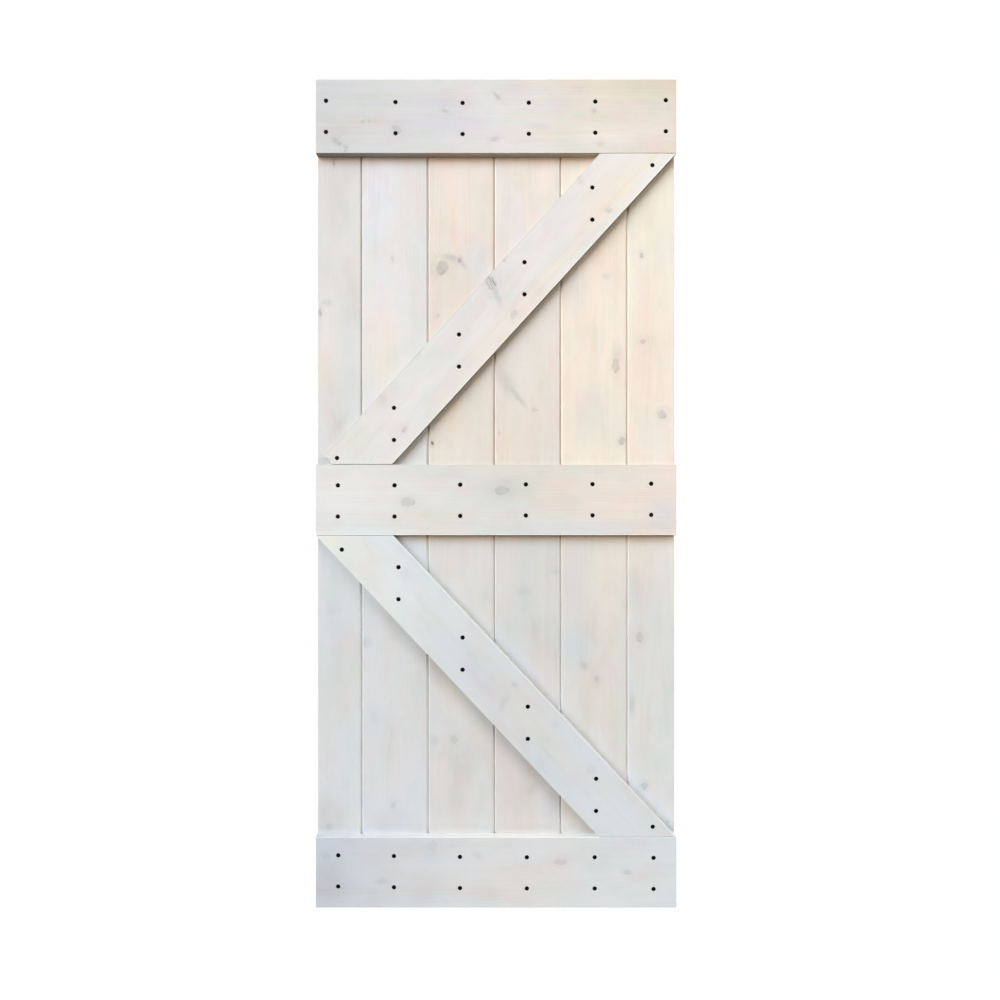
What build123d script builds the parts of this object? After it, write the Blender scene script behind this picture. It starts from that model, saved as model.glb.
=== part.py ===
"""Barn door slab: tongue-and-groove boards held flat by three rails and two braces that make a K.

Millimetres, +Z up, the front faces -Y. The origin is the middle of the top rail's front face,
where the hangers of a sliding track bear.
"""

import os
from math import asin, atan2, cos, hypot, sin

from build123d import *

os.makedirs("parts", exist_ok=True)

# Door
door_width = 914.0
door_height = 2100.0

# Boards, counted from the left as seen from the front
board_thickness = 19.0
full_boards = 4
left_board_cover = 112.0        # door edge to the middle of the first joint
right_board_cover = 120.0       # middle of the last joint to the door edge
joint_reveal = 1.0              # open line between the shoulders of two boards
v_chamfer = 4.0
tongue_thickness = 6.0
tongue_reach = 8.0
tongue_play = 0.2
board_edge_ease = 1.0

# Rails
rail_thickness = 19.0
top_rail_height = 187.0
middle_rail_height = 179.0
bottom_rail_height = 178.0
upper_bay = 790.0               # open height between the top and the middle rail
edge_round = 1.2

# Braces
brace_width = 143.0
brace_end_play = 0.8            # open line between a brace end and its rail
chip_on_edge = 27.0             # broken tip, measured from the corner along the upper edge
chip_on_end = 39.0              # the same along the end cut
chip_hollow = 5.0               # how far the break bows into the wood

# Seats that the screw heads are sunk into, one column for each board
seat_diameter = 11.4
seat_depth = 2.6
rail_row_spacing = 79.0
brace_pair_spacing = 81.5
brace_pair_drop = 4.0           # middle of a pair below the brace's middle line
top_rail_end_inset = 27.0       # outer columns of the top rail, from the rail end
upper_low_tip_inset = 16.0      # single seats of a brace, from the brace end
upper_high_tip_inset = 29.0
lower_low_tip_inset = 26.0
lower_high_tip_inset = 35.0

# The seats are marked out by hand, so each column stands a little off its place: the first number is
# how far to the right, the second how far up, column by column from the left
top_rail_marks = ((-1.0, -0.5), (5.0, -4.0), (4.5, -6.0), (2.0, -5.5), (0.0, -2.5), (0.5, 1.0))
middle_rail_marks = ((0.0, -2.5), (2.5, -2.5), (-1.5, -1.0), (-5.5, 0.0), (-7.0, 0.5), (-3.5, 1.5))
bottom_rail_marks = ((1.0, 4.0), (1.0, 2.0), (-2.0, 0.0), (-3.0, -1.0), (-1.5, -1.0), (2.5, -2.5))
upper_brace_marks = ((-2.0, 0.0), (1.0, -4.5), (-4.5, 1.0), (-9.0, 2.5), (-7.5, 3.5), (-0.5, -1.0))
lower_brace_marks = ((10.0, -0.5), (12.5, 2.0), (4.5, -3.5), (-0.5, -2.5), (2.0, -1.0), (0.5, 0.0))

# Levels and lines that follow from the sizes above
half_width = door_width / 2
door_top = top_rail_height / 2
door_bottom = door_top - door_height
top_rail_bottom = -top_rail_height / 2
middle_rail_top = top_rail_bottom - upper_bay
middle_rail_bottom = middle_rail_top - middle_rail_height
bottom_rail_top = door_bottom + bottom_rail_height
full_board_cover = (door_width - left_board_cover - right_board_cover) / full_boards
joints = [left_board_cover - half_width + n * full_board_cover for n in range(full_boards + 1)]
board_sides = [-half_width] + joints + [half_width]
board_centres = [(a + b) / 2 for a, b in zip(board_sides, board_sides[1:])]


def marked(columns, marks):
    """Each column's place along the door and how far its seats stand above theirs."""
    offsets = [marks[n % len(marks)] for n in range(len(columns))]
    return [(x + right, up) for x, (right, up) in zip(columns, offsets)]


# Boards: full height, tongue on the right side and groove on the left, V-joints front and back
def make_board(name, left, right):
    first = left == board_sides[0]
    last = right == board_sides[-1]
    left_side = left if first else left + joint_reveal / 2
    right_side = right if last else right - joint_reveal / 2
    middle_y = rail_thickness + board_thickness / 2
    slot_depth = tongue_reach - joint_reveal + 2 * tongue_play
    slot_width = tongue_thickness + 2 * tongue_play
    with BuildPart() as board:
        with BuildSketch(Plane.XY.offset(door_bottom)) as section:
            with Locations(((left_side + right_side) / 2, middle_y)):
                Rectangle(right_side - left_side, board_thickness)
            left_corners = section.vertices().group_by(Axis.X)[0]
            chamfer(left_corners, board_edge_ease if first else v_chamfer)
            right_corners = section.vertices().group_by(Axis.X)[-1]
            chamfer(right_corners, board_edge_ease if last else v_chamfer)
            if not last:
                with Locations((right_side, middle_y)):
                    Rectangle(tongue_reach, tongue_thickness, align=(Align.MIN, Align.CENTER))
            if not first:
                with Locations((left_side, middle_y)):
                    Rectangle(
                        slot_depth,
                        slot_width,
                        align=(Align.MIN, Align.CENTER),
                        mode=Mode.SUBTRACT,
                    )
        extrude(amount=door_height)
    board.part.label = name
    export_step(board.part, f"parts/{name}.step")


board_names = ["left_edge_board", "board_2", "board_3", "board_4", "board_5", "right_edge_board"]
for board_name, left, right in zip(board_names, board_sides, board_sides[1:]):
    make_board(board_name, left, right)


# Rails: flat bars across the whole width, front edges eased, two rows of screw seats
def make_rail(name, bottom, top, columns):
    centre = (bottom + top) / 2
    rows = (centre - rail_row_spacing / 2, centre + rail_row_spacing / 2)
    with BuildPart() as rail:
        with BuildSketch(Plane.XZ):
            with Locations((0, centre)):
                Rectangle(door_width, top - bottom)
        extrude(amount=-rail_thickness)
        fillet(rail.faces().sort_by(Axis.Y)[0].edges(), edge_round)
        with Locations(Plane.XZ):
            with Locations([(x, z + up) for x, up in columns for z in rows]):
                Hole(seat_diameter / 2, depth=seat_depth)
    rail.part.label = name
    export_step(rail.part, f"parts/{name}.step")


top_columns = [
    top_rail_end_inset - half_width,
    *board_centres[1:-1],
    half_width - top_rail_end_inset,
]
make_rail("top_rail", top_rail_bottom, door_top, marked(top_columns, top_rail_marks))
middle_columns = marked(board_centres, middle_rail_marks)
make_rail("middle_rail", middle_rail_bottom, middle_rail_top, middle_columns)
make_rail("bottom_rail", door_bottom, bottom_rail_top, marked(board_centres, bottom_rail_marks))


# Braces: both edges run into opposite corners of the bay, the ends are cut level against the rails
def make_brace(name, low, high, lean, columns, low_inset, high_inset, chipped):
    """A brace that leans to the right (lean 1) or to the left (lean -1) from its low end."""
    low_z = low + brace_end_play
    high_z = high - brace_end_play
    rise = high_z - low_z
    slope = atan2(rise, door_width) + asin(brace_width / hypot(rise, door_width))
    end_cut = brace_width / sin(slope)
    low_corner = -lean * half_width
    high_corner = lean * half_width

    # Screw seats: an upright pair near the middle line at each full board, one seat near each tip
    seats = []
    low_middle = low_corner + lean * end_cut / 2
    for x, up in columns[1:-1]:
        on_line = low_z + rise * lean * (x - low_middle) / (door_width - end_cut)
        middle = on_line - brace_pair_drop + up
        seats.append((x, middle - brace_pair_spacing / 2))
        seats.append((x, middle + brace_pair_spacing / 2))
    (low_x, low_up), (high_x, high_up) = (columns[0], columns[-1])[::lean]
    seats.append((low_x, low_z + low_inset + low_up))
    seats.append((high_x, high_z - high_inset + high_up))

    with BuildPart() as brace:
        with BuildSketch(Plane.XZ):
            with BuildLine():
                Polyline(
                    (low_corner, low_z),
                    (low_corner + lean * end_cut, low_z),
                    (high_corner, high_z),
                    (high_corner - lean * end_cut, high_z),
                    close=True,
                )
            make_face()
        extrude(amount=-rail_thickness)
        fillet(brace.faces().sort_by(Axis.Y)[0].edges(), edge_round)
        with Locations(Plane.XZ):
            with Locations(seats):
                Hole(seat_diameter / 2, depth=seat_depth)
        # The sharp tip at the low end is broken off along a hollow line
        if chipped:
            on_edge = (
                low_corner + lean * chip_on_edge * cos(slope),
                low_z + chip_on_edge * sin(slope),
            )
            on_end = (low_corner + lean * chip_on_end, low_z)
            chord = hypot(on_edge[0] - on_end[0], on_edge[1] - on_end[1])
            bow = (
                (on_edge[0] + on_end[0]) / 2 + lean * chip_hollow * (on_edge[1] - on_end[1]) / chord,
                (on_edge[1] + on_end[1]) / 2 + chip_hollow * abs(on_end[0] - on_edge[0]) / chord,
            )
            with BuildSketch(Plane.XZ):
                with BuildLine():
                    ThreePointArc(on_end, bow, on_edge)
                    Polyline(
                        on_edge,
                        (low_corner, on_edge[1]),
                        (low_corner, low_z),
                        on_end,
                    )
                make_face()
            extrude(amount=-rail_thickness, mode=Mode.SUBTRACT)
    brace.part.label = name
    export_step(brace.part, f"parts/{name}.step")


make_brace(
    "upper_brace",
    middle_rail_top,
    top_rail_bottom,
    1,
    marked(board_centres, upper_brace_marks),
    upper_low_tip_inset,
    upper_high_tip_inset,
    True,
)
make_brace(
    "lower_brace",
    bottom_rail_top,
    middle_rail_bottom,
    -1,
    marked(board_centres, lower_brace_marks),
    lower_low_tip_inset,
    lower_high_tip_inset,
    False,
)
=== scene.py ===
import math

import bpy
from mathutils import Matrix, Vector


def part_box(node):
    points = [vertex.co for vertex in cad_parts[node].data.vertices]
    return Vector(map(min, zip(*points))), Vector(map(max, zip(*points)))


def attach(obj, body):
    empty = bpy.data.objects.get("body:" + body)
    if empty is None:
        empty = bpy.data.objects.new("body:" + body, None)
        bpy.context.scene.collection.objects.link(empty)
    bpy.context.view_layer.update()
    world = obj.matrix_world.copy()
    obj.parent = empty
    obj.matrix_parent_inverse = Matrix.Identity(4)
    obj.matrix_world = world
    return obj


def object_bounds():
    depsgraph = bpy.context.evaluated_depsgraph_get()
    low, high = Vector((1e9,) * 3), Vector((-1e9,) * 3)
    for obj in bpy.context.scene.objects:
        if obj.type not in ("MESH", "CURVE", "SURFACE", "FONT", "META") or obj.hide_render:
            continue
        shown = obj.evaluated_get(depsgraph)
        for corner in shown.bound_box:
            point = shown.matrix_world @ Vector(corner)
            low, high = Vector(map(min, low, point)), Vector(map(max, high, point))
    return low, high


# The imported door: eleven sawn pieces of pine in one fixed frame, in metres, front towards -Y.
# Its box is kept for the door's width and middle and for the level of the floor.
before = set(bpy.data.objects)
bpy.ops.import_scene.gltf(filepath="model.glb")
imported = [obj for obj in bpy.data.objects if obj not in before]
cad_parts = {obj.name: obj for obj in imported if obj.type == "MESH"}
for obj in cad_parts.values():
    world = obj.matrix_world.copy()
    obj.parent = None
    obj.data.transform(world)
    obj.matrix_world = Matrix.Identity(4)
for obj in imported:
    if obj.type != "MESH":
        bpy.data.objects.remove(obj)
cad_box = [list(corner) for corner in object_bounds()]


# Boards: six flat-sawn pine boards, tongue and groove, standing side by side over the whole height.
# They are knotty softwood, brushed with a thin white stain that lets the warm grain through,
# and the screws of the rails and braces hold them together.
class Shade:
    """One socket of a shader tree. Sums on it add Math nodes, and node() adds any other node."""

    def __init__(self, tree, socket=None):
        self.tree = tree
        self.socket = socket

    def node(self, kind, settings=None, inputs=None, output=0):
        """A new node: its settings first, then a value or a link for each socket that is named."""
        made = self.tree.nodes.new(kind)
        for name, value in (settings or {}).items():
            if name == "stops":
                for place, colour in value[len(made.color_ramp.elements):]:
                    made.color_ramp.elements.new(place)
                for stop, (place, colour) in zip(made.color_ramp.elements, value):
                    stop.position = place
                    stop.color = colour
            else:
                setattr(made, name, value)
        for name, value in (inputs or {}).items():
            if isinstance(value, Shade):
                self.tree.links.new(value.socket, made.inputs[name])
            else:
                made.inputs[name].default_value = value
        return Shade(self.tree, made.outputs[output] if made.outputs else None)

    def also(self, output):
        """Another output of the same node."""
        return Shade(self.tree, self.socket.node.outputs[output])

    def math(self, operation, *values):
        return self.node("ShaderNodeMath", {"operation": operation}, dict(enumerate(values)))

    def __add__(self, other):
        return self.math("ADD", self, other)

    def __sub__(self, other):
        return self.math("SUBTRACT", self, other)

    def __rsub__(self, other):
        return self.math("SUBTRACT", other, self)

    def __mul__(self, other):
        return self.math("MULTIPLY", self, other)

    def __truediv__(self, other):
        return self.math("DIVIDE", self, other)

    def __abs__(self):
        return self.math("ABSOLUTE", self)

    __radd__ = __add__
    __rmul__ = __mul__


def ease(value, start, end):
    """0 up to start, 1 from end on, and a soft step between them; start may be the larger."""
    limits = {"Value": value, "From Min": start, "From Max": end}
    return value.node("ShaderNodeMapRange", {"interpolation_type": "SMOOTHSTEP"}, limits)


def greatest(first, second):
    """The larger of two amounts, or the second while there is no first yet."""
    return second if first is None else first.math("MAXIMUM", first, second)


def tint(amount, colour, tint_colour):
    """colour multiplied by a tint colour, as far as amount says; this makes the stain's glazes and also the
    painted light and shade.
    """
    settings = {"data_type": "RGBA", "blend_type": "MULTIPLY", "clamp_factor": True}
    return colour.node("ShaderNodeMix", settings, {0: amount, 6: colour, 7: (*tint_colour, 1)}, 2)


def patches(place, scale, detail=2.0, rough=0.5, shift=0.0):
    """Soft noise from 0 to 1 on a place that is stretched by scale, in cycles a metre."""
    shifted = {"Vector": place, "Scale": scale, "Location": (shift, shift * 1.7, shift * 2.3)}
    stretched = place.node("ShaderNodeMapping", {"vector_type": "POINT"}, shifted)
    inputs = {"Vector": stretched, "Scale": 1.0, "Detail": detail, "Roughness": rough}
    return place.node("ShaderNodeTexNoise", None, inputs)


def stain(red, green, blue):
    """A tone, given in the 255 steps of a screen, as linear light; the tones hold the stain and painted
    light together.
    """
    steps = [part / 255 for part in (red, green, blue)]
    return *[((part + 0.055) / 1.055) ** 2.4 for part in steps], 1


# Growth: lengths in metres, patterns in cycles a metre across, behind and along the grain
ring_width = 0.0055
ring_taper = 0.016
pith_wander = 0.05
pith_wander_scale = (1.5, 1.5, 1.1)
ring_ripple = 0.005
ring_ripple_scale = (30, 30, 2.5)
late_wood = (0.95, 0.91, 0.86)
late_wood_strength = 0.42
fibre_scale = (420, 420, 10)
fibre_contrast = 0.05
pore_scale = (900, 900, 16)
pore_strength = 0.36
open_pore = (0.90, 0.86, 0.81)
streak_scale = (40, 40, 1.2)
streak_strength = 0.7
pale_streak_scale = (70, 70, 1.6)
pale_streak = (1.035, 1.03, 1.0)

# Skin: how deep the grain is felt under the stain, and how dull the stain dries
grain_depth = 0.0006
grain_strength = 0.3
stain_roughness = 0.62
roughness_spread = 0.25
stain_gloss = 0.3

# Knots: their rings are given in millimetres, as the knots are
knot_heart = (0.74, 0.755, 0.775)
knot_ring = (0.86, 0.84, 0.82)
knot_ring_width = 2.4
knot_ring_strength = 0.7
knot_bark = (0.62, 0.57, 0.54)
knot_mottle_scale = (110, 110, 110)
knot_shake = 0.013
knot_shake_scale = 60.0
grey_bleed = (0.76, 0.785, 0.82)
open_check = (0.22, 0.18, 0.16)

# Stain: clouds and tinges of the white, and how much grain shows through it below the waist
cool_glaze = (0.945, 0.97, 0.99)
warm_glaze = (1.0, 0.965, 0.92)
rose_glaze = (1.0, 0.955, 0.965)
sage_glaze = (0.955, 0.985, 0.965)
cloud_scale = (9, 9, 4.5)
blush_scale = (7, 7, 3.0)
tinge_scale = (17, 17, 9)
waist = (-1.25, -0.85)
grain_below_waist = 0.6

# Painted light and shade: warm painted shade under a rail and painted shade above it on the boards, and in
# the joints lower down painted light on the shaded flank and painted shade on the lit one; the long sides
# and front edges of rails and braces get painted light and shade too. Each pair is where a zone begins and
# where it is full, inwards from an edge or back from the front
painted_shade_under_rail = (1.0, 0.84, 0.70)
shade_under_rail_reach = 0.030
shade_above_rail_reach = 0.034
rail_gap = 0.002
behind_rail = 0.02
front_half = (0.030, 0.024)
painted_light_in_groove = (1.35, 1.35, 1.35)
painted_shade_on_lit_flank = (0.94, 0.95, 0.96)
groove_mouth = (0.0192, 0.0198)
groove_foot = (0.026, 0.0245)
groove_wall = (0.0055, 0.0045)
side_shade_inset = (0.0013, 0.0003)
side_shade_depth = (0.0001, 0.0009)
edge_light_inset = (0.0045, 0.0016)
edge_light_depth = (0.0012, 0.0002)


def whitewashed_pine(name, lean, heart, tones, shift, knots=(), smears=(), checks=(), washes=(),
                     bar=None, side_light_and_shade=(), edge_light_and_shade=(), crossings=(), light_and_shade_beside_braces=(), left_side=None):
    """Solid pine under a white stain brushed on thinly, with painted light and shade.

    lean is the slope of the grain from upright, towards the right. heart is where the pith runs, across
    the grain and behind the front. tones are the colour at places along the piece, up a board and to the
    right on a rail or brace: the stain's own tone together with painted light, brighter towards the top and
    warmer towards the upper right. Each knot, smear or check has its x and z, half width, half height, turn
    in degrees and strength, in millimetres; a wash, where the stain took another tone, ends in its tint
    colour.

    A rail or brace has its bar, the middle line and half width, and the painted light and shade on its two
    long sides and on their front edges, left or upper one first. A board has the crossings, the levels of
    each rail over it and the painted shade above them, the bands of painted light and shade beside the
    braces, and its own left side.
    """
    material = bpy.data.materials.new(name)
    material.use_nodes = True
    material.node_tree.nodes.clear()
    spot = Shade(material.node_tree).node("ShaderNodeTexCoord", output="Object")
    sideways = spot.node("ShaderNodeSeparateXYZ", None, {"Vector": spot})
    upright = sideways.also("Z")
    wood = spot.node("ShaderNodeMapping", None, {"Vector": spot, "Rotation": (0, -lean, 0)})
    across = wood.node("ShaderNodeSeparateXYZ", None, {"Vector": wood})
    depth = across.also("Y")
    along = across.also("Z")

    # Edges of knots are not true ellipses, so their places are shaken a little
    noise = {"Vector": spot, "Scale": knot_shake_scale, "Detail": 3.0}
    shake = spot.node("ShaderNodeTexNoise", None, noise, "Color")
    shake = spot.node("ShaderNodeVectorMath", {"operation": "SUBTRACT"}, {0: shake, 1: (0.5, 0.5, 0.5)})
    shake = spot.node("ShaderNodeVectorMath", {"operation": "SCALE"}, {0: shake, "Scale": knot_shake})
    shaken = spot.node("ShaderNodeVectorMath", {"operation": "ADD"}, {0: spot, 1: shake})

    def around(x, z, half_x, half_z, turn):
        """Place measured from the middle of a knot, 1 away at its edge."""
        inputs = {
            "Vector": shaken,
            "Location": (x / 1000, 0, z / 1000),
            "Rotation": (0, math.radians(turn), 0),
            "Scale": (half_x / 1000, 10, half_z / 1000),
        }
        return shaken.node("ShaderNodeMapping", {"vector_type": "TEXTURE"}, inputs)

    def reach(local):
        """Distance from the middle of a knot, 1 at its edge."""
        return local.node("ShaderNodeVectorMath", {"operation": "LENGTH"}, {0: local}, "Value")

    core = whorl = bark = halo = split = None
    swirl = 0.0
    for x, z, half_x, half_z, turn, strength in knots:
        local = around(x, z, half_x, half_z, turn)
        far = reach(local)
        height = local.node("ShaderNodeSeparateXYZ", None, {"Vector": local}).also("Z")
        inside = ease(far, 1.15, 0.7) * strength
        core = greatest(core, inside)
        years = far * (half_x / knot_ring_width)
        whorl = greatest(whorl, ease(years.math("FRACT", years), 0.1, 0.9) * inside)
        bark = greatest(bark, ease(abs(far - 0.95), 0.28, 0.0) * ease(height, 1.1, -0.7) * strength)
        halo = greatest(halo, ease(far, 3.2, 0.8) * (strength * 0.5))
        swirl = ease(far, 4.0, 0.0) * (half_x / 1000) + swirl
    for x, z, half_x, half_z, turn, strength in smears:
        halo = greatest(halo, ease(reach(around(x, z, half_x, half_z, turn)), 1.6, 0.1) * strength)
    for x, z, half_x, half_z, turn, strength in checks:
        split = greatest(split, ease(reach(around(x, z, half_x, half_z, turn)), 1.3, 0.5) * strength)

    # Growth rings: distance from a pith that wanders, with the taper of the trunk and bent round knots
    wander = patches(wood, pith_wander_scale, 1.0, shift=shift) * pith_wander
    ripple = patches(wood, ring_ripple_scale, 2.0, shift=shift + 3) * ring_ripple
    side = across - heart[0] + wander - pith_wander / 2
    below = depth - heart[1]
    radius = spot.math("SQRT", side * side + below * below)
    rings = (radius + along * ring_taper + ripple + swirl) / ring_width
    turn_of_ring = rings.math("FRACT", rings)
    late = ease(turn_of_ring, 0.25, 0.92) * ease(turn_of_ring, 1.0, 0.93)

    # Colour: the tone drifts along the piece, the stain's own tone together with painted light that is
    # brighter towards the top and warmer towards the upper right; the stain clouds over in places and is
    # thin on streaks of late wood
    stops = sorted(tones.items())
    first, last = stops[0][0], stops[-1][0]
    ramp = [((place - first) / (last - first), stain(*tone)) for place, tone in stops]
    place = ((upright if lean == 0 else sideways) * 1000 - first) / (last - first)
    colour = spot.node("ShaderNodeValToRGB", {"stops": ramp}, {"Fac": place})
    bare = ease(upright, *waist) * (1 - grain_below_waist) + grain_below_waist
    fibre = patches(wood, fibre_scale, 4.0, 0.6, shift)
    streak = patches(wood, streak_scale, 3.0, 0.55, shift + 5)
    blush = patches(wood, blush_scale, 2.0, 0.5, shift + 7)
    cloud = patches(wood, cloud_scale, 3.0, 0.55, shift + 9)
    colour = tint(ease(cloud, 0.46, 0.72), colour, cool_glaze)
    colour = tint(ease(blush, 0.46, 0.72), colour, warm_glaze)
    rosy = patches(wood, tinge_scale, 3.0, 0.6, shift + 11)
    mossy = patches(wood, tinge_scale, 3.0, 0.6, shift + 13)
    colour = tint(ease(rosy, 0.48, 0.66), colour, rose_glaze)
    colour = tint(ease(mossy, 0.48, 0.66), colour, sage_glaze)
    colour = tint(ease(streak, 0.5, 0.8) * bare * streak_strength, colour, warm_glaze)
    pale = patches(wood, pale_streak_scale, 2.0, 0.5, shift + 15)
    colour = tint(ease(pale, 0.56, 0.72) * bare, colour, pale_streak)
    colour = tint(late * ease(streak, 0.35, 0.7) * bare * late_wood_strength, colour, late_wood)
    for x, z, half_x, half_z, turn, tint_colour in washes:
        colour = tint(ease(reach(around(x, z, half_x, half_z, turn)), 1.5, 0.2), colour, tint_colour)
    if halo:
        colour = tint(halo, colour, grey_bleed)
    if core:
        mottled = patches(spot, knot_mottle_scale, 2.0, shift=shift)
        colour = tint(core * (mottled * 1.2 + 0.35), colour, knot_heart)
        colour = tint(whorl * knot_ring_strength, colour, knot_ring)
        colour = tint(bark * ease(mottled, 0.36, 0.58), colour, knot_bark)
    if split:
        colour = tint(split, colour, open_check)
    pores = patches(wood, pore_scale, 2.0, 0.5, shift + 17)
    colour = tint(ease(pores, 0.60, 0.74) * bare * pore_strength, colour, open_pore)
    if bar:
        middle, half_width = bar
        # Painted light and shade on the two long sides of a rail or brace
        for face, painted_side_tone, painted_edge_tone in zip((-1, 1), side_light_and_shade, edge_light_and_shade):
            outwards = (across - middle) * face
            side = ease(outwards, half_width - side_shade_inset[0], half_width - side_shade_inset[1])
            colour = tint(side * ease(depth, *side_shade_depth), colour, painted_side_tone)
            # Painted highlight and shade along the front edges, inwards from each side
            wear_and_edge_light = ease(outwards, half_width - edge_light_inset[0], half_width - edge_light_inset[1])
            colour = tint(wear_and_edge_light * ease(depth, *edge_light_depth), colour, painted_edge_tone)
    front = ease(depth, *front_half)
    # Painted shade on the boards: warm just under each rail, and darker just above it
    for low, high, painted_shade_above_rail in crossings:
        under_rail_shade = ease(upright, low - shade_under_rail_reach, low - rail_gap) * ease(upright, low + behind_rail, low)
        above_rail_shade = ease(upright, high + shade_above_rail_reach, high + rail_gap) * ease(upright, high - behind_rail, high)
        colour = tint(under_rail_shade * front, colour, painted_shade_under_rail)
        colour = tint(above_rail_shade * front, colour, painted_shade_above_rail)
    # Painted light and shade in bands beside the braces
    for beside, wide, tint_colour, (full, start) in light_and_shade_beside_braces:
        away = beside(sideways, upright)
        band = ease(away, wide, 0.0) * ease(away, -behind_rail, 0.0) * ease(upright, start, full)
        colour = tint(band * front, colour, tint_colour)
    # Below the middle rail, painted light on the shaded flank of each joint and painted shade on its lit
    # flank
    if crossings:
        low, high, painted_shade_above_rail = crossings[1]
        groove = ease(upright, high, low) * ease(depth, *groove_mouth) * ease(depth, *groove_foot)
        left_wall = ease(sideways, left_side + groove_wall[0], left_side + groove_wall[1])
        colour = tint(groove * (1 - left_wall), colour, painted_light_in_groove)
        colour = tint(groove * left_wall, colour, painted_shade_on_lit_flank)
    shading = (fibre - 0.5) * bare * fibre_contrast + 1.0
    colour = spot.node("ShaderNodeVectorMath", {"operation": "SCALE"}, {0: colour, "Scale": shading})

    relief = fibre * 0.5 + late * 0.3
    if split:
        relief = relief - split
    bump = {"Height": relief, "Distance": grain_depth, "Strength": grain_strength}
    inputs = {
        "Base Color": colour,
        "Roughness": (fibre - 0.5) * roughness_spread + stain_roughness,
        "Normal": spot.node("ShaderNodeBump", None, bump),
        "Specular IOR Level": stain_gloss,
    }
    skin = spot.node("ShaderNodeBsdfPrincipled", None, inputs)
    spot.node("ShaderNodeOutputMaterial", None, {"Surface": skin})
    return material


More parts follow.
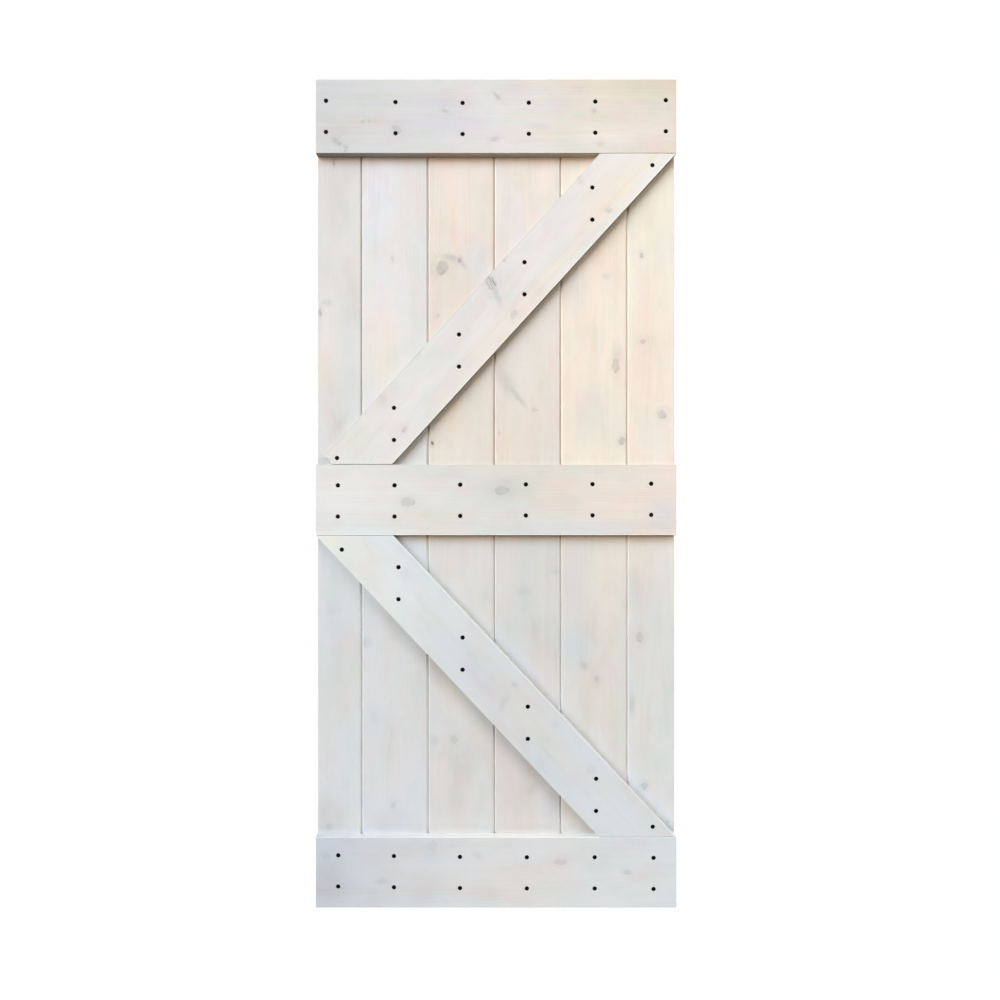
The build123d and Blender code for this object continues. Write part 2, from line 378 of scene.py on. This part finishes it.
boards = {
    "left_edge_board": dict(
        heart=(-0.47, 0.10), shift=1.0,
        tones={-1800: (208, 211, 211), -1300: (208, 211, 211), -800: (217, 216, 212), -100: (219, 217, 213)},
        washes=[
            (-415, -190, 45, 110, 0, (0.94, 0.91, 0.9)),
            (-430, -560, 30, 120, 0, (1.06, 1.02, 0.98)),
            (-430, -1790, 60, 50, 0, (0.94, 0.9, 0.89)),
        ],
        knots=[(-416, -106, 2.5, 9, 0, 0.7), (-451, -491, 5, 8, 0, 0.8), (-427, -1812, 7, 9, 0, 0.4)],
        smears=[
            (-434, -468, 14, 9, 0, 0.6),
            (-398, -776, 12, 30, 38, 0.35),
            (-423, -1255, 10, 16, 0, 0.3),
        ],
    ),
    "board_2": dict(
        heart=(-0.27, 0.09), shift=2.0,
        tones={-1800: (211, 212, 215), -1300: (210, 212, 213), -800: (222, 220, 217), -100: (224, 223, 224)},
        washes=[
            (-305, -220, 40, 120, 0, (1.01, 1.05, 1.12)),
            (-322, -440, 18, 120, 0, (1.02, 1.01, 0.96)),
            (-290, -590, 55, 130, 0, (1.08, 1.0, 0.92)),
            (-270, -1800, 80, 30, 0, (0.94, 0.92, 0.92)),
        ],
        knots=[(-265, -353, 4, 7, 0, 0.4), (-264, -1756, 6, 8, 0, 0.4)],
        smears=[(-333, -1338, 14, 12, 0, 0.5), (-262, -1322, 10, 12, 0, 0.25)],
    ),
    "board_3": dict(
        heart=(-0.10, 0.08), shift=3.0,
        tones={-1800: (209, 208, 206), -1300: (210, 210, 206), -800: (224, 214, 203), -100: (233, 221, 209)},
        washes=[
            (-50, -380, 50, 65, 0, (0.92, 1.0, 1.1)),
            (-165, -160, 22, 70, 0, (0.94, 0.99, 1.0)),
            (-110, -220, 14, 80, 0, (1.05, 0.99, 0.98)),
            (-145, -1700, 30, 90, 0, (1.05, 1.0, 0.97)),
            (-112, -760, 28, 45, 0, (1.04, 0.995, 0.92)),
            (-105, -1465, 50, 60, 0, (1.07, 1.01, 0.95)),
        ],
        knots=[
            (-139, -376, 14, 19, 18, 0.7),
            (-94, -358, 5, 7, 20, 1.0),
            (-149, -499, 4, 5, 0, 0.35),
            (-164, -827, 3, 5, 0, 1.0),
            (-108, -1586, 8, 9, 0, 0.35),
        ],
        smears=[
            (-116, -352, 24, 9, 10, 1.0),
            (-85, -369, 7, 15, -30, 0.8),
            (-159, -1589, 12, 14, 0, 0.5),
        ],
        checks=[(-164, -827, 2, 4, 0, 0.8)],
    ),
    "board_4": dict(
        heart=(0.05, 0.11), shift=4.0,
        tones={-1800: (211, 207, 204), -1300: (209, 208, 204), -800: (223, 214, 204), -100: (232, 224, 216)},
        washes=[
            (130, -150, 32, 50, 0, (1.09, 1.06, 1.02)),
            (50, -250, 26, 60, 0, (1.03, 0.98, 1.04)),
            (60, -640, 30, 60, 0, (1.0, 1.04, 1.06)),
            (142, -1765, 26, 50, 0, (0.93, 0.95, 1.0)),
        ],
        knots=[(100, -742, 7, 5, 0, 0.3), (8, -801, 2.5, 4, 0, 0.25)],
        smears=[
            (24, -668, 17, 42, -24, 0.6),
            (54, -706, 7, 38, -38, 0.9),
            (72, -1204, 22, 14, 0, 0.35),
            (156, -1158, 10, 12, 0, 0.5),
            (90, -1715, 12, 16, 0, 0.35),
        ],
    ),
    "board_5": dict(
        heart=(0.26, 0.085), shift=5.0,
        tones={-1800: (211, 209, 204), -1300: (213, 210, 203), -800: (237, 224, 206), -100: (239, 228, 214)},
        washes=[
            (200, -430, 40, 60, 0, (0.92, 0.93, 1.0)),
            (250, -760, 85, 100, 0, (0.9, 0.945, 0.99)),
            (200, -1150, 38, 120, 0, (0.92, 0.94, 1.01)),
            (205, -1350, 42, 55, 0, (0.9, 0.96, 1.04)),
            (290, -1270, 30, 160, 0, (1.035, 1.0, 0.98)),
            (190, -1765, 18, 40, 0, (1.08, 1.03, 0.97)),
        ],
        knots=[
            (307, -627, 9, 20, 0, 0.6),
            (323, -822, 7, 10, 0, 0.7),
            (260, -1432, 7, 10, 0, 0.4),
        ],
        smears=[(282, -399, 9, 9, 0, 0.5), (226, -1399, 14, 10, 30, 0.7), (310, -600, 16, 34, 0, 0.5)],
    ),
    "right_edge_board": dict(
        heart=(0.42, 0.12), shift=6.0,
        tones={-1800: (211, 212, 210), -1300: (213, 214, 211), -800: (237, 223, 209), -100: (239, 231, 213)},
        washes=[
            (410, -800, 45, 80, 0, (0.94, 1.0, 1.02)),
            (360, -1560, 26, 120, 0, (1.06, 1.0, 0.95)),
            (385, -270, 30, 50, 0, (1.03, 1.03, 0.98)),
        ],
        knots=[
            (374, -346, 5, 6, 0, 0.8),
            (376, -565, 7, 7, 0, 0.5),
            (426, -753, 10, 11, 0, 0.6),
            (369, -1325, 8, 13, 0, 0.5),
            (380, -1707, 8, 10, 20, 0.6),
            (440, -1799, 3, 3, 0, 0.5),
        ],
        smears=[(350, -1502, 8, 26, 0, 0.7)],
    ),
}

# The rails and braces over the boards get painted light and shade beside them, so their lines are worked out
# here
brace_width = 0.143
door_width = cad_box[1][0] - cad_box[0][0]
door_middle = (cad_box[0][0] + cad_box[1][0]) / 2


def brace_lean(node, side):
    """Slope of a brace's edges from upright, towards the right for side 1."""
    low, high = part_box(node)
    rise = high[2] - low[2]
    steep = math.atan2(rise, door_width) + math.asin(brace_width / math.hypot(rise, door_width))
    return side * (math.pi / 2 - steep)


def middle_line(node, lean):
    """Where the middle of a rail or brace lies, measured across its grain."""
    low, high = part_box(node)
    return door_middle * math.cos(lean) - (low[2] + high[2]) / 2 * math.sin(lean)


def beside_brace(node, side, face):
    """Distance from a brace's left edge (face -1) or right edge (face 1), outwards over the boards."""
    lean = brace_lean(node, side)
    middle = middle_line(node, lean)

    def away(sideways, upright):
        return (sideways * math.cos(lean) - upright * math.sin(lean) - middle) * face - brace_width / 2

    return away


# Painted shade on the boards just above each rail; none above the top rail
shade_painted_above_each_rail = {
    "top_rail": (1, 1, 1),
    "middle_rail": (0.90, 0.92, 0.93),
    "bottom_rail": (0.86, 0.88, 0.89),
}
levels = {rail: (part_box(rail)[0][2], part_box(rail)[1][2]) for rail in shade_painted_above_each_rail}
crossings = [(*levels[rail], above) for rail, above in shade_painted_above_each_rail.items()]
shade_fades_out = -1.45
# Bands of painted shade beside the upper brace's left edge and below the lower brace's left edge, fading out
# towards its upper end, and a band of painted light beside the lower brace's right edge
light_and_shade_beside_braces = [
    (beside_brace("upper_brace", 1, -1), 0.14, (0.955, 0.965, 0.975), levels["top_rail"]),
    (
        beside_brace("lower_brace", -1, -1),
        0.056,
        (0.79, 0.765, 0.735),
        (shade_fades_out, levels["middle_rail"][0]),
    ),
    (beside_brace("lower_brace", -1, 1), 0.045, (1.02, 1.07, 1.15), levels["middle_rail"]),
]
for node, facts in boards.items():
    facts = dict(facts, crossings=crossings, light_and_shade_beside_braces=light_and_shade_beside_braces, left_side=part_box(node)[0][0])
    pine = whitewashed_pine(node + "_pine", 0.0, **facts)
    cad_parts[node].material_slots[0].material = pine


# Rails: three flat pine bars across the front, at the top, the waist and the foot of the door.
# The grain runs level, the front edges are eased, and the stain is thicker than on the boards;
# two rows of screws go through each rail into the boards behind it.
# The long sides and front edges of each rail carry painted light and shade: painted shade under the top rail
# and on both sides of the middle rail, painted light on the top of the bottom rail, and painted highlights
# and shade on the front edges.
rails = {
    "top_rail": dict(
        heart=(0.02, 0.09), shift=11.0, side_light_and_shade=((1, 1, 1), (0.86, 0.81, 0.74)),
        edge_light_and_shade=((1, 1, 1), (1.11, 1.11, 1.10)),
        tones={-400: (205, 205, 204), 0: (222, 219, 216), 250: (225, 217, 205), 430: (221, 211, 196)},
        washes=[
            (345, -45, 120, 38, 0, (1.07, 1.08, 1.16)),
            (-130, 0, 140, 55, 0, (0.945, 0.945, 1.0)),
            (40, 65, 60, 30, 0, (0.98, 0.93, 0.97)),
            (428, -5, 40, 45, 0, (1.04, 1.04, 1.07)),
        ],
        knots=[
            (-406, -61, 8, 6, 25, 0.5),
            (-396, -69, 2.5, 3.5, 30, 0.8),
            (-381, -78, 5, 4, 25, 0.5),
            (-381, -88, 5, 3, 0, 0.4),
            (-337, -13, 4, 4, 0, 0.4),
            (-322, -11, 4, 4, 0, 0.4),
            (-251, -33, 12, 8, 30, 0.4),
            (-128, 14, 10, 5, 30, 0.4),
            (3, 51, 12, 4, 45, 0.45),
            (-3, -58, 11, 6, -15, 0.4),
            (248, 14, 5, 6, 0, 0.4),
            (264, -71, 7, 6, 0, 0.3),
        ],
        smears=[(111, -25, 26, 10, 0, 0.4)],
    ),
    "middle_rail": dict(
        heart=(1.07, 0.09), shift=12.0, side_light_and_shade=((0.74, 0.71, 0.66), (0.70, 0.66, 0.60)),
        edge_light_and_shade=((0.92, 0.92, 0.92), (1.17, 1.17, 1.16)),
        tones={-430: (223, 221, 218), 0: (216, 216, 210), 430: (231, 217, 206)},
        washes=[
            (270, -1045, 190, 28, 0, (0.91, 0.98, 1.04)),
            (-320, -1045, 140, 26, 0, (0.95, 1.01, 1.04)),
            (-85, -950, 40, 26, 0, (1.04, 0.98, 0.98)),
            (428, -1005, 50, 50, 0, (0.91, 0.98, 1.05)),
        ],
        knots=[(-224, -978, 18, 12, 0, 0.5), (16, -948, 18, 12, 0, 0.5)],
    ),
    "bottom_rail": dict(
        heart=(1.90, 0.10), shift=13.0, side_light_and_shade=((1.12, 1.12, 1.12), (1, 1, 1)),
        edge_light_and_shade=((1, 1, 1), (1, 1, 1)),
        tones={-430: (195, 200, 206), 0: (214, 213, 212), 430: (210, 213, 213)},
        washes=[
            (-430, -1945, 60, 60, 0, (0.93, 0.9, 0.88)),
            (-180, -1985, 60, 25, 0, (0.97, 1.02, 1.04)),
            (370, -1930, 60, 60, 0, (1.04, 1.01, 0.98)),
        ],
        knots=[
            (-431, -1875, 9, 8, 0, 0.22),
            (-161, -1850, 12, 12, 0, 0.22),
            (165, -1890, 13, 8, 0, 0.34),
            (332, -1916, 10, 7, 0, 0.38),
        ],
        smears=[(-47, -1874, 14, 10, 0, 0.4), (-288, -1939, 20, 10, 0, 0.5)],
    ),
}
level_grain = math.pi / 2
for node, facts in rails.items():
    low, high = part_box(node)
    bar = (middle_line(node, level_grain), (high[2] - low[2]) / 2)
    pine = whitewashed_pine(node + "_pine", level_grain, bar=bar, **facts)
    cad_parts[node].material_slots[0].material = pine


# Braces: two pine bars that run from corner to corner of the bays and make the K with the rails.
# They are of the same stained stock as the rails, with the grain along their slope; the low tip of
# the upper one is broken off.
# The upper brace has painted shade on both long sides and the lower brace painted light on its right one;
# both have painted highlights on their right front edges, and the upper one painted shade on its left one.
braces = {
    "upper_brace": dict(
        lean=brace_lean("upper_brace", 1), heart=(0.30, 0.09), shift=21.0,
        side_light_and_shade=((0.66, 0.65, 0.63), (0.60, 0.57, 0.52)),
        edge_light_and_shade=((0.89, 0.89, 0.89), (1.13, 1.13, 1.12)),
        tones={-430: (222, 222, 217), 0: (226, 221, 216), 400: (233, 228, 222)},
        washes=[
            (20, -430, 45, 60, 43, (0.95, 0.975, 0.96)),
            (-110, -545, 36, 230, 42, (0.97, 0.98, 0.985)),
            (85, -477, 32, 400, 42, (1.03, 1.0, 0.955)),
            (300, -200, 26, 120, 43, (1.02, 1.0, 0.95)),
        ],
        knots=[
            (286, -238, 10, 8, 0, 0.45),
            (22, -365, 4, 4, 0, 0.5),
            (-13, -421, 11, 20, -20, 0.5),
            (46, -502, 7, 11, 35, 0.5),
            (-231, -793, 6, 9, 30, 0.45),
        ],
        smears=[
            (213, -162, 10, 14, -30, 0.5),
            (2, -455, 8, 24, -20, 0.9),
            (-288, -720, 12, 18, 0, 0.35),
            (-253, -687, 14, 16, 0, 0.25),
            (-208, -593, 20, 20, 0, 0.7),
        ],
        checks=[
            (-16, -415, 0.9, 12, -32, 0.8),
            (-7, -420, 1.0, 14, -30, 0.85),
            (-21, -425, 0.7, 7, -34, 0.5),
        ],
    ),
    "lower_brace": dict(
        lean=brace_lean("lower_brace", -1), heart=(-1.10, 0.08), shift=22.0,
        side_light_and_shade=((1, 1, 1), (1.06, 1.06, 1.05)),
        edge_light_and_shade=((1, 1, 1), (1.13, 1.13, 1.13)),
        tones={-400: (221, 226, 225), 0: (208, 210, 210), 430: (209, 213, 215)},
        washes=[
            (-90, -1400, 48, 170, -43, (0.955, 0.98, 1.05)),
            (-425, -1090, 30, 40, 0, (1.05, 1.0, 0.95)),
            (-240, -1130, 40, 60, -43, (1.03, 0.99, 0.99)),
        ],
        knots=[(47, -1441, 8, 5, 40, 0.3)],
        smears=[
            (-228, -1161, 14, 14, 0, 0.25),
            (23, -1480, 9, 26, 25, 0.4),
            (150, -1543, 14, 12, 0, 0.25),
            (241, -1657, 12, 14, 0, 0.3),
        ],
    ),
}
for node, facts in braces.items():
    bar = (middle_line(node, facts["lean"]), brace_width / 2)
    pine = whitewashed_pine(node + "_pine", bar=bar, **facts)
    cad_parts[node].material_slots[0].material = pine


# Screws: black steel screws with low domed heads and a cross recess, driven through the rails and
# braces into the boards. Each head is sunk into its own round seat, just below the face of the wood.
seat_floor = 0.0026
seat_tolerance = 0.00001
head_radius = 0.0056
head_thickness = 0.0016
head_sides = 24
dome_height = 0.0008
dome_steps = ((0.55, 0.86), (0.33, 0.68), (0.12, 0.5))
recess_length = 0.0054
recess_width = 0.0011
recess_depth = 0.0012
cutter_above_dome = 0.5
crease_angle = math.radians(32)
head_tilt = 0.01
head_clearance = 0.00015
turn_seed = 7
black_coat = (0.002, 0.002, 0.002, 1)
rubbed_coat = (0.007, 0.007, 0.007, 1)
rub_scale = (700, 700, 700)
coat_roughness = 0.4
coat_spread = 0.3
coat_gloss = 0.1


def screw_seats(node):
    """Middles of the round seats that are cut into the front of a rail or brace."""
    floors = []
    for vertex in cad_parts[node].data.vertices:
        if abs(vertex.co.y - seat_floor) < seat_tolerance:
            for seat in floors:
                if (seat[0] - vertex.co).length < 3 * head_radius:
                    seat.append(vertex.co)
                    break
            else:
                floors.append([vertex.co])
    middles = []
    for seat in floors:
        xs = [co.x for co in seat]
        zs = [co.z for co in seat]
        middles.append(((min(xs) + max(xs)) / 2, (min(zs) + max(zs)) / 2))
    return sorted(middles)


def screw_heads():
    """Node tree that sets one head on each point, turned as the driver left it."""
    tree = bpy.data.node_groups.new("sunk_screw_heads", "GeometryNodeTree")
    sizes = {
        "Head radius": ("NodeSocketFloat", head_radius),
        "Head thickness": ("NodeSocketFloat", head_thickness),
        "Dome height": ("NodeSocketFloat", dome_height),
        "Recess length": ("NodeSocketFloat", recess_length),
        "Recess width": ("NodeSocketFloat", recess_width),
        "Recess depth": ("NodeSocketFloat", recess_depth),
        "Turn seed": ("NodeSocketInt", turn_seed),
    }
    tree.interface.new_socket("Points", in_out="INPUT", socket_type="NodeSocketGeometry")
    for name, (kind, value) in sizes.items():
        tree.interface.new_socket(name, in_out="INPUT", socket_type=kind).default_value = value
    tree.interface.new_socket("Heads", in_out="OUTPUT", socket_type="NodeSocketGeometry")
    given = Shade(tree).node("NodeGroupInput")
    size = {name: given.also(name) for name in sizes}

    head = given.node(
        "GeometryNodeMeshCylinder",
        {"fill_type": "NGON"},
        {"Vertices": head_sides, "Radius": size["Head radius"], "Depth": size["Head thickness"]},
    )
    top = head.also("Top")
    for rise, narrow in dome_steps:
        step = size["Dome height"] * rise
        lift = {"Mesh": head, "Selection": top, "Offset Scale": step, "Individual": False}
        head = given.node("GeometryNodeExtrudeMesh", {"mode": "FACES"}, lift)
        top = head.also("Top")
        shrink = {"Geometry": head, "Selection": top, "Scale": narrow}
        head = given.node("GeometryNodeScaleElements", {"domain": "FACE"}, shrink)
    recess_top = size["Head thickness"] / 2 + size["Dome height"] * (1 + cutter_above_dome)
    recess_height = size["Dome height"] * cutter_above_dome + size["Recess depth"]
    long, short = size["Recess length"], size["Recess width"]
    cutters = []
    for wide, deep in ((long, short), (short, long)):
        measure = given.node("ShaderNodeCombineXYZ", None, {"X": wide, "Y": deep, "Z": recess_height})
        bar = given.node("GeometryNodeMeshCube", None, {"Size": measure})
        middle = given.node("ShaderNodeCombineXYZ", None, {"Z": recess_top - recess_height * 0.5})
        cutters.append(given.node("GeometryNodeTransform", None, {"Geometry": bar, "Translation": middle}))
    settings = {"operation": "DIFFERENCE", "solver": "EXACT"}
    cross = given.node("GeometryNodeMeshBoolean", {"operation": "UNION", "solver": "EXACT"})
    for cutter in cutters:
        tree.links.new(cutter.socket, cross.socket.node.inputs["Mesh 2"])
    head = given.node("GeometryNodeMeshBoolean", settings, {"Mesh 1": head, "Mesh 2": cross})
    bend = given.node("GeometryNodeInputMeshEdgeAngle")
    soft = given.node("FunctionNodeCompare", {"operation": "LESS_THAN"}, {0: bend, 1: crease_angle})
    smooth = {"Geometry": head, "Shade Smooth": soft}
    head = given.node("GeometryNodeSetShadeSmooth", {"domain": "EDGE"}, smooth)
    turns = given.node(
        "FunctionNodeRandomValue",
        {"data_type": "FLOAT_VECTOR"},
        {
            "Min": (math.pi / 2 - head_tilt, -math.pi, -head_tilt),
            "Max": (math.pi / 2 + head_tilt, math.pi, head_tilt),
            "Seed": size["Turn seed"],
        },
    )
    set_out = {"Points": given.also("Points"), "Instance": head, "Rotation": turns}
    heads = given.node("GeometryNodeInstanceOnPoints", None, set_out)
    heads = given.node("GeometryNodeRealizeInstances", None, {"Geometry": heads})
    heads = given.node("GeometryNodeSetMaterial", None, {"Geometry": heads, "Material": black_steel()})
    given.node("NodeGroupOutput", None, {"Heads": heads})
    return tree


def black_steel():
    """Satin black coating, a little duller where the driver and the years have worn it."""
    material = bpy.data.materials.new("black_steel")
    material.use_nodes = True
    material.node_tree.nodes.clear()
    spot = Shade(material.node_tree).node("ShaderNodeTexCoord", output="Object")
    wear_and_edge_light = patches(spot, rub_scale, 3.0, 0.6)
    worn = ease(wear_and_edge_light, 0.52, 0.75)
    settings = {"data_type": "RGBA"}
    colours = {0: worn, 6: black_coat, 7: rubbed_coat}
    inputs = {
        "Base Color": spot.node("ShaderNodeMix", settings, colours, 2),
        "Roughness": wear_and_edge_light * coat_spread + coat_roughness,
        "Specular IOR Level": coat_gloss,
    }
    skin = spot.node("ShaderNodeBsdfPrincipled", None, inputs)
    spot.node("ShaderNodeOutputMaterial", None, {"Surface": skin})
    return material


seats = [seat for node in (*rails, *braces) for seat in screw_seats(node)]
head_middle = seat_floor - head_clearance - head_thickness / 2
screws_mesh = bpy.data.meshes.new("screws")
screws_mesh.from_pydata([(x, head_middle, z) for x, z in seats], [], [])
screws = bpy.data.objects.new("screws", screws_mesh)
bpy.context.scene.collection.objects.link(screws)
setting = screws.modifiers.new("heads", "NODES")
setting.node_group = screw_heads()
for item in setting.node_group.interface.items_tree:
    if item.in_out == "INPUT" and item.socket_type != "NodeSocketGeometry":
        setting[item.identifier] = item.default_value
graph = bpy.context.evaluated_depsgraph_get()
screws_mesh = bpy.data.meshes.new_from_object(screws.evaluated_get(graph), depsgraph=graph)
screws.modifiers.clear()
screws.data = screws_mesh
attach(screws, "root")


# Studio: a white paper floor and backdrop that only the camera sees. A cool soft light from the left and
# a warm one from the upper right light the front, with dim warm light all round, and a third soft light
# behind shows the plain back of the boards.
floor_size = 60
floor_gap = 0.012
backdrop_radius = 28
paper_glow = 1.02
room_colour = (1.0, 0.80, 0.60, 1)
room_glow = 0.09
bpy.ops.mesh.primitive_plane_add(size=floor_size, location=(0, 0, cad_box[0][2] - floor_gap))
floor = bpy.context.object
floor.name = "floor"
bpy.ops.mesh.primitive_uv_sphere_add(
    segments=48, ring_count=24, radius=backdrop_radius, location=(0, 0, -1)
)
backdrop = bpy.context.object
backdrop.name = "backdrop"
paper = bpy.data.materials.new("white_paper")
paper.use_nodes = True
paper.node_tree.nodes.clear()
glow = {"Color": (1, 1, 1, 1), "Strength": paper_glow}
lit = Shade(paper.node_tree).node("ShaderNodeEmission", None, glow)
lit.node("ShaderNodeOutputMaterial", None, {"Surface": lit})
for sheet in (floor, backdrop):
    sheet.data.materials.append(paper)
    sheet.visible_diffuse = False
    sheet.visible_glossy = False
    sheet.visible_shadow = False

scene = bpy.context.scene
scene.view_settings.view_transform = "Standard"
world = bpy.data.worlds.new("room")
world.use_nodes = True
world.node_tree.nodes["Background"].inputs["Color"].default_value = room_colour
world.node_tree.nodes["Background"].inputs["Strength"].default_value = room_glow
scene.world = world


def soft_light(name, towards, spread, strength, colour):
    """A far soft light that shines evenly on the whole door; spread is how wide it looks, in degrees."""
    light = bpy.data.lights.new(name, "SUN")
    light.angle = math.radians(spread)
    light.energy = strength
    light.color = colour
    lamp = bpy.data.objects.new(name, light)
    tilt = math.atan2(math.hypot(towards[0], towards[1]), towards[2])
    bearing = math.atan2(towards[1], towards[0]) + math.pi / 2
    lamp.rotation_euler = (tilt, 0, bearing)
    scene.collection.objects.link(lamp)


soft_light("key", (-0.68, -0.64, 0.37), 60, 3.82, (0.95, 1.0, 1.07))
soft_light("fill", (0.66, -0.40, 0.63), 70, 2.14, (1.0, 0.96, 0.91))
soft_light("behind", (0.52, 0.79, 0.33), 50, 3.2, (1.0, 0.99, 0.97))

# Camera: straight on, level with the middle of the door and near enough to see under the top rail.
# The lens is shifted only as far as the door stands off the middle of the picture.
camera_distance = 1.542
camera_level = -0.9615
lens = bpy.data.cameras.new("camera")
lens.sensor_width = 36
lens.lens = 21.9
lens.shift_x = 0.004
lens.shift_y = -0.0046
camera = bpy.data.objects.new("camera", lens)
camera.location = (0, -camera_distance, camera_level)
camera.rotation_euler = (math.pi / 2, 0, 0)
scene.collection.objects.link(camera)
scene.camera = camera
